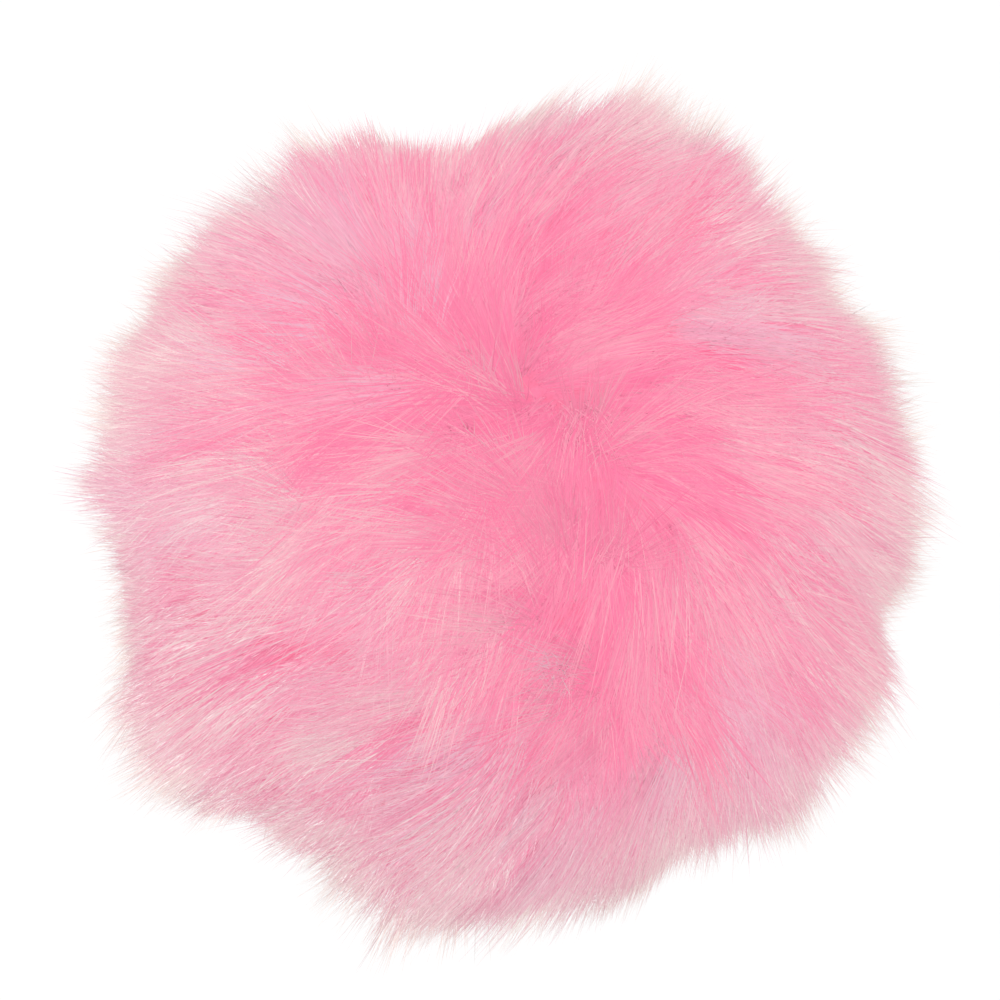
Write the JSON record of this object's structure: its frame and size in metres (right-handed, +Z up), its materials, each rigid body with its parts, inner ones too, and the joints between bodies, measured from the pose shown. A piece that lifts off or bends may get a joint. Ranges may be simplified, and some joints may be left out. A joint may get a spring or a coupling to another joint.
{
  "type": "faux fur pom pom",
  "caption": "Round pom pom of pink long-pile faux fur, its locks combed outwards from a crown, resting on a small flat spot.",
  "frame": {"origin": "on the surface the pom pom rests on, under the middle of its box", "axes": "+Z up through the top of the pom pom, +X to the right and +Y away as seen with the fuller lobes of fur at the lower left and upper right"},
  "size_m": [0.112, 0.1106, 0.0934],
  "materials": {
    "fur": "long glossy faux fur pile, rose pink at the roots and pale pink at the tips"
  },
  "bodies": {
    "root": {"pom_pom": "fur"}
  },
  "joints": []
}
